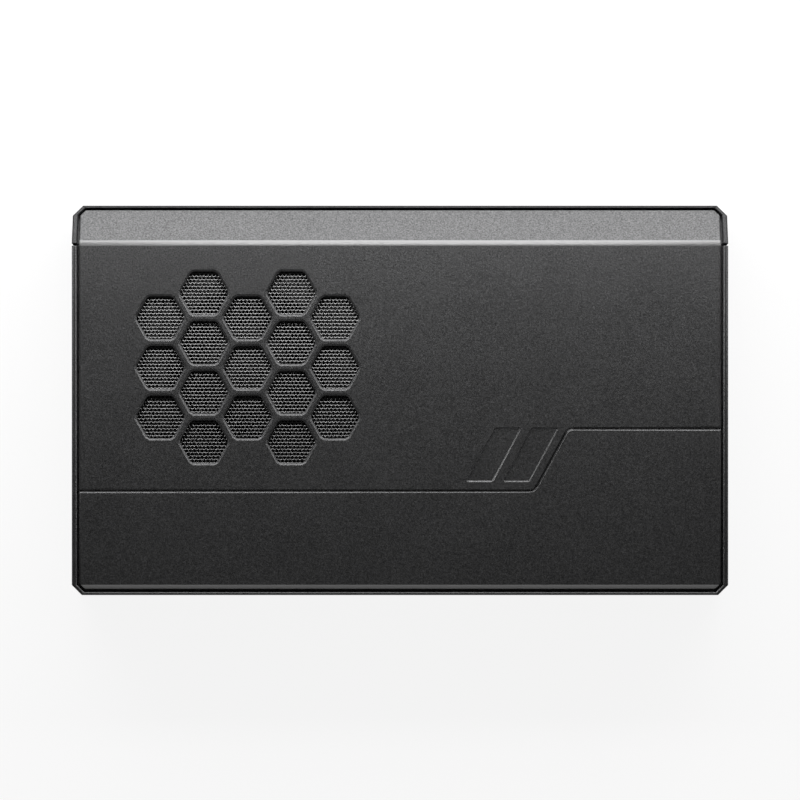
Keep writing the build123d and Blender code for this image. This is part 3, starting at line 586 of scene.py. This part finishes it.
def add_block(bm, low, high, turn=Matrix()):
    """A block between two corners, turned about its middle."""
    low, high = Vector(low), Vector(high)
    sized = Matrix.Diagonal((*(high - low), 1))
    bmesh.ops.create_cube(bm, size=1, matrix=Matrix.Translation((low + high) / 2) @ turn @ sized)


class ENCLOSURE_OT_shell(bpy.types.Operator):
    """Round the edges of the shell and paint it"""

    bl_idname = "enclosure.shell"
    bl_label = "Shell"

    def execute(self, context):
        look = context.scene.enclosure_shell
        # Bands of painted highlight along the cover's crease and front edge
        crease_front = look.crease - look.crease_width / 2
        cover_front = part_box("top_cover")[0].y
        highlight_bands = (
            (crease_front, crease_front + look.crease_width, CREASE_HIGHLIGHT, look.burnish),
            (cover_front, cover_front + look.front_width, FRONT_HIGHLIGHT, look.front_highlight),
        )
        cover_paint = blasted_paint("cover_paint", look.paint, look, highlight_bands)
        frame_paint = blasted_paint("frame_paint", look.frame_paint, look)
        bezel_paint = blasted_paint("bezel_paint", look.bezel_paint, look)
        base_paint = blasted_paint("base_paint", look.base_paint, look)
        for node, paint, slot in (
            ("top_cover", cover_paint, "shell_paint"),
            ("main_frame", frame_paint, "shell_paint"),
            ("rear_bezel", bezel_paint, "shell_paint"),
            ("bottom_cover", base_paint, "base_paint"),
        ):
            make_piece("painted_" + node, softened(node, look.edge), paint, stands_for=[node])
        return {"FINISHED"}


class ENCLOSURE_OT_mesh(bpy.types.Operator):
    """Punch the mesh sheet behind the air windows"""

    bl_idname = "enclosure.mesh"
    bl_label = "Air Mesh"

    # Columns of windows on each side of the middle one, and windows in a short column
    side_columns = 2
    short_column = 3

    def execute(self, context):
        look = context.scene.enclosure_mesh
        low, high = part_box("vent_mesh")
        bm = bmesh.new()
        self.lay_cells(bm, look, low, high)
        self.punch_holes(bm, look, (low + high) / 2)
        self.trim(bm, low, high)
        sunk = bmesh.ops.extrude_face_region(bm, geom=bm.faces[:])["geom"]
        for item in sunk:
            if isinstance(item, bmesh.types.BMVert):
                item.co.z = low.z
        bmesh.ops.recalc_face_normals(bm, faces=bm.faces)
        steel = brushed_metal("mesh_steel", look.steel, roughness=0.34, streak=(900, 900, 900))
        make_piece("punched_mesh", bm, steel, stands_for=["vent_mesh"])
        return {"FINISHED"}

    def lay_cells(self, bm, look, low, high):
        """A sheet of six-sided cells, one for each hole, a little larger than the mesh."""
        row_step = look.pitch * math.sqrt(3) / 2
        columns = math.ceil((high.x - low.x) / look.pitch) + 2
        rows = math.ceil((high.y - low.y) / row_step) + 2
        bmesh.ops.create_circle(bm, cap_ends=True, segments=6, radius=look.pitch / math.sqrt(3))
        corner = Vector((low.x - look.pitch / 2, low.y - row_step / 2, high.z))
        bmesh.ops.translate(bm, verts=bm.verts, vec=corner)
        self.repeat(bm, columns, lambda index: (index * look.pitch, 0, 0))
        self.repeat(bm, rows, lambda index: (index % 2 * look.pitch / 2, index * row_step, 0))
        bmesh.ops.remove_doubles(bm, verts=bm.verts, dist=look.pitch / 100)

    def punch_holes(self, bm, look, middle):
        """Opens the cells that show through a window, with a ridge and two flanks between holes."""
        holes = [
            face for face in bm.faces if self.in_window(look, face.calc_center_median() - middle)
        ]
        bmesh.ops.inset_individual(bm, faces=holes, thickness=look.ridge / 2, use_even_offset=True)
        bmesh.ops.inset_individual(
            bm,
            faces=holes,
            thickness=(look.wire - look.ridge) / 2,
            depth=-look.flank,
            use_even_offset=True,
        )
        bmesh.ops.delete(bm, geom=holes, context="FACES")

    def trim(self, bm, low, high):
        """Cuts the sheet to the mesh's outline."""
        for point, normal in (
            (low, (-1, 0, 0)),
            (low, (0, -1, 0)),
            (high, (1, 0, 0)),
            (high, (0, 1, 0)),
        ):
            everything = bm.verts[:] + bm.edges[:] + bm.faces[:]
            bmesh.ops.bisect_plane(
                bm, geom=everything, plane_co=point, plane_no=normal, clear_outer=True
            )

    def repeat(self, bm, count, step):
        """Copies all faces along a row of steps."""
        first = bm.faces[:]
        for index in range(1, count):
            copied = bmesh.ops.duplicate(bm, geom=first)["geom"]
            moved = [item for item in copied if isinstance(item, bmesh.types.BMVert)]
            bmesh.ops.translate(bm, verts=moved, vec=step(index))

    def in_window(self, look, place):
        """Whether a place, counted from the windows' middle, shows through a window."""
        reach = look.window / 2 + look.margin
        for column in range(-self.side_columns, self.side_columns + 1):
            count = self.short_column + column % 2
            for row in range(count):
                across = abs(place.x - column * look.column_pitch)
                along = abs(place.y - (row - (count - 1) / 2) * look.row_pitch)
                if max(along, across * math.sqrt(3) / 2 + along / 2) < reach:
                    return True
        return False


class ENCLOSURE_OT_feet(bpy.types.Operator):
    """Round the rubber feet"""

    bl_idname = "enclosure.feet"
    bl_label = "Rubber Feet"

    def execute(self, context):
        look = context.scene.enclosure_feet
        rubber = moulded("foot_rubber", look.rubber, roughness=0.78, grain=0.35, depth=0.02)
        bm = softened("rubber_feet", look.edge, segments=3)
        make_piece("moulded_feet", bm, rubber, stands_for=["rubber_feet"])
        return {"FINISHED"}


class ENCLOSURE_OT_screws(bpy.types.Operator):
    """Make the bottom screws with six-lobed sockets"""

    bl_idname = "enclosure.screws"
    bl_label = "Bottom Screws"

    head_radius = 2.8 * MM
    sides = 36
    rim_segments = 3
    lobes = 6

    def execute(self, context):
        look = context.scene.enclosure_screws
        low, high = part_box("bottom_screws")
        bm = bmesh.new()
        for x in (low.x + self.head_radius, high.x - self.head_radius):
            for y in (low.y + self.head_radius, high.y - self.head_radius):
                self.add_head(bm, look, Vector((x, y, low.z)), high.z - low.z)
        bmesh.ops.recalc_face_normals(bm, faces=bm.faces)
        shade(bm)
        steel = brushed_metal("screw_steel", look.steel, roughness=0.36, streak=(1500, 1500, 1500))
        make_piece("screw_heads", bm, steel, stands_for=["bottom_screws"])
        return {"FINISHED"}

    def add_head(self, bm, look, foot, height):
        """A round head with a rounded rim and a lobed socket, open downwards."""
        made = bmesh.ops.create_cone(
            bm,
            cap_ends=True,
            segments=self.sides,
            radius1=self.head_radius,
            radius2=self.head_radius,
            depth=height,
            matrix=Matrix.Translation(foot + Vector((0, 0, height / 2))),
        )
        under = self.lowest(made["verts"])
        bmesh.ops.bevel(
            bm,
            geom=under.edges[:],
            offset=look.rim,
            segments=self.rim_segments,
            profile=0.5,
            affect="EDGES",
            material=-1,
        )
        near = [vert for vert in bm.verts if (vert.co - foot).length < self.head_radius]
        under = self.lowest(near)
        land = self.head_radius - look.rim - look.socket
        bmesh.ops.inset_region(bm, faces=[under], thickness=land)
        for vert in under.verts:
            arm = vert.co - foot
            turn = math.atan2(arm.y, arm.x)
            vert.co = foot + arm * (1 + look.lobe * math.cos(self.lobes * turn))
        socket = bmesh.ops.extrude_discrete_faces(bm, faces=[under])["faces"][0]
        bmesh.ops.translate(bm, verts=socket.verts, vec=(0, 0, look.socket_depth))

    def lowest(self, verts):
        """The lowest face at some vertices."""
        faces = {face for vert in verts for face in vert.link_faces}
        return min(faces, key=lambda face: face.calc_center_median().z)


class ENCLOSURE_OT_controls(bpy.types.Operator):
    """Round the power button and finish the status light"""

    bl_idname = "enclosure.controls"
    bl_label = "Button and Light"

    def execute(self, context):
        look = context.scene.enclosure_controls
        plastic = moulded("button_plastic", look.plastic, roughness=0.42, grain=0.25)
        bm = softened("power_button", look.edge, segments=3)
        make_piece("rounded_button", bm, plastic, "button", ["power_button"])
        dress(milky_plastic("light_plastic", look.light), "light_pipe", "status_lamp")
        dress(moulded("switch_resin", look.plastic, roughness=0.5, grain=0.3), "button_switch")
        return {"FINISHED"}


class ENCLOSURE_OT_sockets(bpy.types.Operator):
    """Finish the sockets and add their contacts"""

    bl_idname = "enclosure.sockets"
    bl_label = "Sockets"

    inlet_radius = 3.4 * MM
    inlet_depth = 11.0 * MM
    sleeve_fit = 0.02 * MM
    sleeve_setback = 0.4 * MM
    sleeve_sides = 48
    network_depth = 12.5 * MM
    network_wires = 8
    network_wire_height = 8.4 * MM
    network_wire_length = 8.4 * MM
    network_wire_slope = math.radians(28)
    # A contact's width as a share of the pitch, and its ends as shares of the tongue's length
    contact_share = 0.56
    contact_start = 0.25
    contact_end = 0.92

    def execute(self, context):
        look = context.scene.enclosure_sockets
        steel = brushed_metal("socket_steel", look.steel, roughness=0.3, streak=(300, 2500, 300))
        plastic = moulded("socket_plastic", look.plastic, roughness=0.48, grain=0.3)
        gold = brushed_metal("contact_gold", look.gold, roughness=0.25, streak=(2500, 400, 400))
        dress(steel, *TONGUES)
        dress(plastic, "power_inlet", "network_socket", "socket_tongues")
        dress(gold, "inlet_pin")
        contacts = bmesh.new()
        for node in TONGUES:
            self.add_contacts(contacts, node, look)
        make_piece("tongue_contacts", contacts, gold)
        make_piece("network_contacts", self.network_contacts(look), gold)
        make_piece("inlet_sleeve", self.inlet_sleeve(look), steel)
        return {"FINISHED"}

    def add_contacts(self, bm, node, look):
        """Flat contacts on both faces of a socket's tongue."""
        width, height, reach, count = TONGUES[node]
        low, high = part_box(node)
        middle = (low + high) / 2
        back = low.y + SOCKET_BACK
        pitch = width * MM / count
        for index in range(count):
            x = middle.x + (index - (count - 1) / 2) * pitch
            for side in (-1, 1):
                face = middle.z + side * height * MM / 2
                ends = sorted((face - side * look.contact, face + side * look.contact))
                half = self.contact_share * pitch / 2
                add_block(
                    bm,
                    (x - half, back + self.contact_start * reach * MM, ends[0]),
                    (x + half, back + self.contact_end * reach * MM, ends[1]),
                )

    def network_contacts(self, look):
        """Slanted spring wires in the network socket."""
        low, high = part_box("network_socket")
        middle_x = (low.x + high.x) / 2
        half = Vector((look.wire, self.network_wire_length, look.wire)) / 2
        slope = Matrix.Rotation(self.network_wire_slope, 4, "X")
        bm = bmesh.new()
        for index in range(self.network_wires):
            x = middle_x + (index - (self.network_wires - 1) / 2) * look.wire_pitch
            spot = Vector((x, high.y - self.network_depth / 2, low.z + self.network_wire_height))
            add_block(bm, spot - half, spot + half, slope)
        return bm

    def inlet_sleeve(self, look):
        """Thin sleeve inside the round power inlet."""
        low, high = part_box("power_inlet")
        middle = (low + high) / 2
        outer = self.inlet_radius - self.sleeve_fit
        inner = outer - look.sleeve
        front = high.y - self.sleeve_setback
        back = high.y - self.inlet_depth + self.sleeve_fit
        corners = [(outer, front), (inner, front), (inner, back), (outer, back)]
        bm = bmesh.new()
        ring = [bm.verts.new((middle.x + radius, y, middle.z)) for radius, y in corners]
        for index, corner in enumerate(ring):
            bm.edges.new((ring[index - 1], corner))
        bmesh.ops.spin(
            bm,
            geom=bm.edges[:] + bm.verts[:],
            cent=(middle.x, 0, middle.z),
            axis=(0, 1, 0),
            angle=2 * math.pi,
            steps=self.sleeve_sides,
            use_merge=True,
        )
        bmesh.ops.remove_doubles(bm, verts=bm.verts, dist=SPIN_MERGE)
        bmesh.ops.recalc_face_normals(bm, faces=bm.faces)
        shade(bm)
        return bm


class ENCLOSURE_OT_board(bpy.types.Operator):
    """Finish the board and the parts on it"""

    bl_idname = "enclosure.board"
    bl_label = "Board"

    def execute(self, context):
        look = context.scene.enclosure_board
        dress(solder_mask("board_laminate", look.mask, look.trace), "main_board")
        resin = moulded("chip_resin", look.resin, roughness=0.46, grain=0.2)
        dress(resin, "graphics_carrier", "memory_chips", "power_transistors", "link_controller")
        dress(silicon_die("die_silicon", look.silicon), "graphics_die")
        pad = moulded("pad_silicone", look.pad, roughness=0.7, grain=0.5, depth=0.03)
        dress(pad, "memory_pads")
        fleck = tint(look.ferrite, 0.5)[:3]
        ferrite = speckled("choke_ferrite", look.ferrite, fleck, roughness=0.6, cell=0.4)
        dress(ferrite, "power_chokes")
        dark = tint(look.ferrite, 0.7)[:3]
        dress(moulded("capacitor_resin", dark, roughness=0.4, grain=0.3), "capacitors")
        return {"FINISHED"}


class ENCLOSURE_OT_cooler(bpy.types.Operator):
    """Finish the cold plate, heat pipes, fins and inner screws"""

    bl_idname = "enclosure.cooler"
    bl_label = "Cooler"

    def execute(self, context):
        look = context.scene.enclosure_cooler
        copper = brushed_metal(
            "copper", look.copper, roughness=0.3, streak=(250, 2500, 250), dull=0.6
        )
        dress(copper, "cold_plate", "heat_pipes")
        # Near black as painted shade where the fins show through the mesh
        fins = brushed_metal("blackened_fins", look.fins, roughness=0.42, streak=(300, 300, 2500))
        dress(fins, "fin_stack")
        steel = brushed_metal("inner_steel", look.steel, roughness=0.35, streak=(1500, 1500, 1500))
        dress(steel, "board_screws", "cooler_screws", "fan_screws", "cooler_posts")
        fleck = tint(look.foam, 0.3)[:3]
        dress(speckled("seal_foam", look.foam, fleck, roughness=0.9, cell=0.5), "outlet_seal")
        return {"FINISHED"}


class ENCLOSURE_OT_fan(bpy.types.Operator):
    """Finish the fan"""

    bl_idname = "enclosure.fan"
    bl_label = "Fan"

    def execute(self, context):
        look = context.scene.enclosure_fan
        plastic = moulded("fan_plastic", look.plastic, roughness=0.45, grain=0.3)
        dress(plastic, "fan_housing", "fan_rotor", "fan_header")
        # Near black as painted shade where the plate shows through the mesh
        dress(moulded("plate_coat", look.plate, roughness=0.5, grain=0.25), "fan_top_plate")
        steel = brushed_metal("motor_steel", look.steel, roughness=0.3, streak=(300, 300, 2500))
        dress(steel, "fan_shaft", "fan_stator")
        brass = brushed_metal("bearing_brass", look.brass, roughness=0.3, streak=(300, 300, 2500))
        dress(brass, "fan_bearing")
        dress(ribbon_lead("lead_plastic", look.plastic), "fan_lead")
        return {"FINISHED"}


class ENCLOSURE_OT_stage(bpy.types.Operator):
    """Set up the floor, the lamps, the room and the camera"""

    bl_idname = "enclosure.stage"
    bl_label = "Stage"

    # Name, size and place of each lamp, in metres
    lamps = (
        ("key", (0.9, 0.24), (0, 0.35, 0.14)),
        ("strip", (0.4, 0.03), (0, 0.115, 0.16)),
        ("fill", (1.6, 0.4), (0, -1.0, 0.55)),
        ("left", (1.2, 0.4), (-1.0, 0.3, 0.2)),
        ("right", (1.2, 0.4), (1.0, 0.3, 0.2)),
    )
    floor_radius = 8.0
    floor_sides = 96
    floor_drop = 0.2 * MM
    sight = 20.0

    # Heights of a unit ray at which the white horizon ends and the dim ceiling begins
    horizon = 0.06
    dimmed = 0.22

    def execute(self, context):
        look = context.scene.enclosure_stage
        scene = context.scene
        scene.view_settings.view_transform = "Standard"
        self.make_floor(scene, look)
        self.make_room(scene, look)
        for name, size, place in self.lamps:
            self.add_lamp(scene, name + "_lamp", getattr(look, name), size, place)
        self.add_camera(scene, look)
        return {"FINISHED"}

    def make_floor(self, scene, look):
        """A wide pale floor that keeps the shadow and shows white."""
        bm = bmesh.new()
        bmesh.ops.create_circle(
            bm, cap_ends=True, segments=self.floor_sides, radius=self.floor_radius
        )
        bmesh.ops.translate(bm, verts=bm.verts, vec=(0, 0, -self.floor_drop))
        mesh = bpy.data.meshes.new("floor")
        bm.to_mesh(mesh)
        bm.free()
        floor = bpy.data.objects.new("floor", mesh)
        scene.collection.objects.link(floor)
        tree = NodeTree(bpy.data.materials.new("pale_floor"))
        tree.tree.nodes.remove(tree.tree.nodes["Principled BSDF"])
        paint = tree.node("ShaderNodeBsdfDiffuse", None, {"Color": (*look.floor, 1)})
        glow = tree.node("ShaderNodeEmission", None, {"Color": (1, 1, 1, 1), "Strength": 1.0})
        lit = tree.blend(paint, glow, look.glow * tree.seen_rays())
        under = tree.node("ShaderNodeNewGeometry", output="Backfacing")
        shown = tree.blend(lit, tree.node("ShaderNodeBsdfTransparent"), under)
        tree.feed(tree.tree.nodes["Material Output"], {"Surface": shown})
        mesh.materials.append(tree.owner)

    def make_room(self, scene, look):
        """White round the horizon and dim overhead."""
        scene.world = bpy.data.worlds.new("studio")
        tree = NodeTree(scene.world)
        ray = tree.node("ShaderNodeTexCoord", output="Generated")
        height = tree.node("ShaderNodeSeparateXYZ", None, {"Vector": ray}, "Z")
        white = (1, 1, 1)
        dim = (look.ceiling, look.ceiling, look.ceiling)
        stops = [(0, white), (self.horizon, white), (self.dimmed, dim), (1, dim)]
        mirrored = tree.node("ShaderNodeValToRGB", {"stops": stops}, {"Fac": height}, "Color")
        lit = tree.mix(tree.seen_rays(), tint(white, look.ambient), mirrored)
        direct = tree.node("ShaderNodeLightPath", output="Is Camera Ray")
        tree.feed(tree.tree.nodes["Background"], {"Color": tree.mix(direct, lit, (*white, 1))})

    def add_lamp(self, scene, name, power, size, place):
        """A soft lamp aimed at the object."""
        data = bpy.data.lights.new(name, "AREA")
        data.shape = "RECTANGLE"
        data.size, data.size_y = size
        data.energy = power
        lamp = bpy.data.objects.new(name, data)
        lamp.location = place
        lamp.rotation_euler = (-Vector(place)).to_track_quat("-Z", "Y").to_euler()
        lamp.visible_camera = False
        scene.collection.objects.link(lamp)

    def add_camera(self, scene, look):
        """A far camera straight over the cover's face."""
        camera = bpy.data.objects.new("camera", bpy.data.cameras.new("camera"))
        camera.data.lens = camera.data.sensor_width * look.distance / look.view_width
        camera.data.clip_end = self.sight
        camera.location = (0, 0, cad_box[1].z + look.distance)
        scene.collection.objects.link(camera)
        scene.camera = camera


LOOKS = {
    "shell": ShellLook,
    "mesh": MeshLook,
    "feet": FeetLook,
    "screws": ScrewLook,
    "controls": ControlLook,
    "sockets": SocketLook,
    "board": BoardLook,
    "cooler": CoolerLook,
    "fan": FanLook,
    "stage": StageLook,
}
OPERATORS = (
    ENCLOSURE_OT_shell,
    ENCLOSURE_OT_mesh,
    ENCLOSURE_OT_feet,
    ENCLOSURE_OT_screws,
    ENCLOSURE_OT_controls,
    ENCLOSURE_OT_sockets,
    ENCLOSURE_OT_board,
    ENCLOSURE_OT_cooler,
    ENCLOSURE_OT_fan,
    ENCLOSURE_OT_stage,
)


class ENCLOSURE_PT_panel(bpy.types.Panel):
    """Sizes, colours and steps of the enclosure"""

    bl_idname = "ENCLOSURE_PT_panel"
    bl_label = "Graphics Enclosure"
    bl_space_type = "VIEW_3D"
    bl_region_type = "UI"
    bl_category = "Enclosure"

    def draw(self, context):
        for part, operator in zip(LOOKS, OPERATORS):
            box = self.layout.box()
            look = getattr(context.scene, "enclosure_" + part)
            for key in look.__annotations__:
                box.prop(look, key)
            box.operator(operator.bl_idname)


def register():
    """Registers the looks, the operators and the panel."""
    for part, look in LOOKS.items():
        bpy.utils.register_class(look)
        setattr(bpy.types.Scene, "enclosure_" + part, PointerProperty(type=look))
    for operator in OPERATORS:
        bpy.utils.register_class(operator)
    bpy.utils.register_class(ENCLOSURE_PT_panel)


def unregister():
    """Removes the panel, the operators and the looks."""
    bpy.utils.unregister_class(ENCLOSURE_PT_panel)
    for operator in reversed(OPERATORS):
        bpy.utils.unregister_class(operator)
    for part, look in LOOKS.items():
        delattr(bpy.types.Scene, "enclosure_" + part)
        bpy.utils.unregister_class(look)


def main():
    """Makes every piece and the stage in order."""
    register()
    for operator in OPERATORS:
        group, step = operator.bl_idname.split(".")
        getattr(getattr(bpy.ops, group), step)()


if __name__ == "__main__":
    main()
